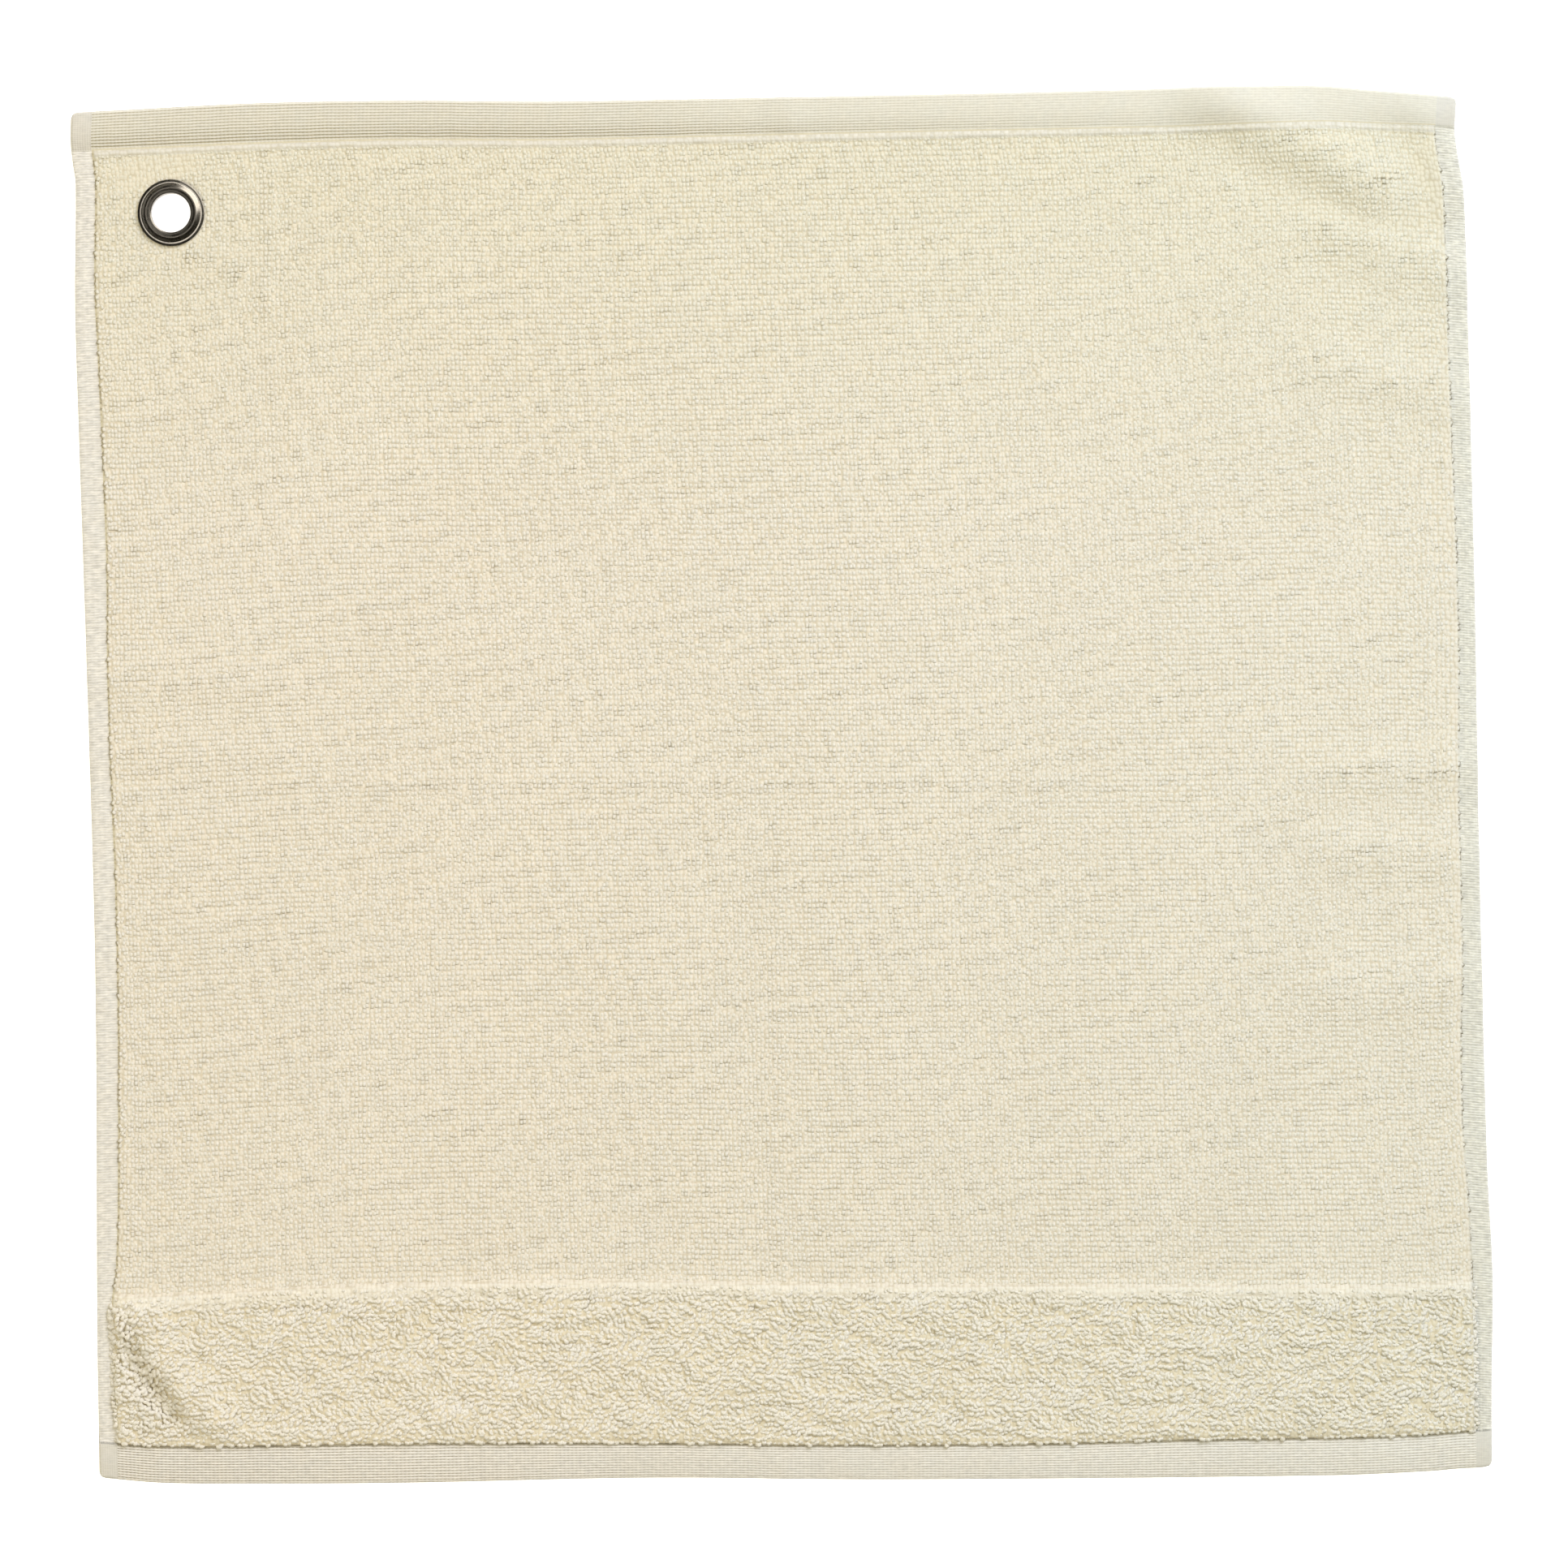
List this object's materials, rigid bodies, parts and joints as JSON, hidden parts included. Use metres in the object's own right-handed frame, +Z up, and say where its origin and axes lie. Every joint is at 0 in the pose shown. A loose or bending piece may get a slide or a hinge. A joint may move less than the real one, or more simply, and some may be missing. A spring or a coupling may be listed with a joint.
{
  "type": "hand towel",
  "caption": "Square cotton terry hand towel lying flat, with flat selvedges, folded hems, a deep-pile band along the bottom and a metal eyelet in its top left corner.",
  "frame": {"origin": "on the surface that the towel lies on, under the middle of its bounding box", "axes": "+Z up, +X across the width to the right seen from above, +Y towards the top hem; the towel lies face up"},
  "size_m": [0.5106, 0.5018, 0.0078],
  "materials": {
    "terry": "cream cotton loops, matt",
    "eyelet_metal": "dark nickel plate, polished"
  },
  "bodies": {
    "root": {"terry_cloth": "terry", "eyelet_strip": "terry", "eyelet_flange": "eyelet_metal", "eyelet_washer": "eyelet_metal"}
  },
  "joints": []
}
